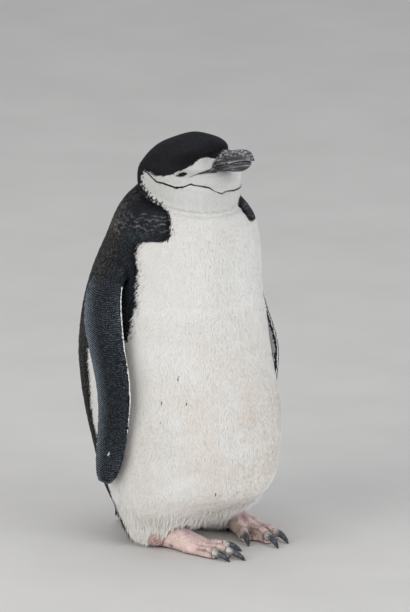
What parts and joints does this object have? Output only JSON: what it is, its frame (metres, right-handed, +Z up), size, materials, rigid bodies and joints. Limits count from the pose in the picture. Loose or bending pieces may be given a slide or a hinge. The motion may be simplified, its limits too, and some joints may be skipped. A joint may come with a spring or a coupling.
{
  "type": "chinstrap penguin",
  "caption": "Chinstrap penguin standing at rest, neck drawn in, eyes nearly shut, flippers hanging; a still life-size model.",
  "frame": {"origin": "on the floor, under the middle of the model's bounding box", "axes": "+Z up, the bird faces -Y, its left side is +X"},
  "size_m": [0.218, 0.232, 0.4334],
  "materials": {
    "white_down": "short dense white feathers, matte",
    "black_down": "short dense blue-black feathers, soft sheen",
    "bill_horn": "dark grey horn, satin, scuffed",
    "eye_ball": "dark brown, wet",
    "foot_skin": "pink scaly skin, matte",
    "claw_horn": "dark grey horn, paler at the root"
  },
  "bodies": {
    "root": {"torso": "white_down", "neck": "white_down", "head": "black_down", "bill_upper": "bill_horn", "bill_lower": "bill_horn", "eye_right": "eye_ball", "eye_left": "eye_ball", "flipper_right": "black_down", "flipper_left": "black_down", "tail": "black_down", "leg_right": "white_down", "foot_right": "foot_skin", "claw_right_inner": "claw_horn", "claw_right_middle": "claw_horn", "claw_right_outer": "claw_horn", "claw_right_hind": "claw_horn", "leg_left": "white_down", "foot_left": "foot_skin", "claw_left_inner": "claw_horn", "claw_left_middle": "claw_horn", "claw_left_outer": "claw_horn", "claw_left_hind": "claw_horn"}
  },
  "joints": []
}
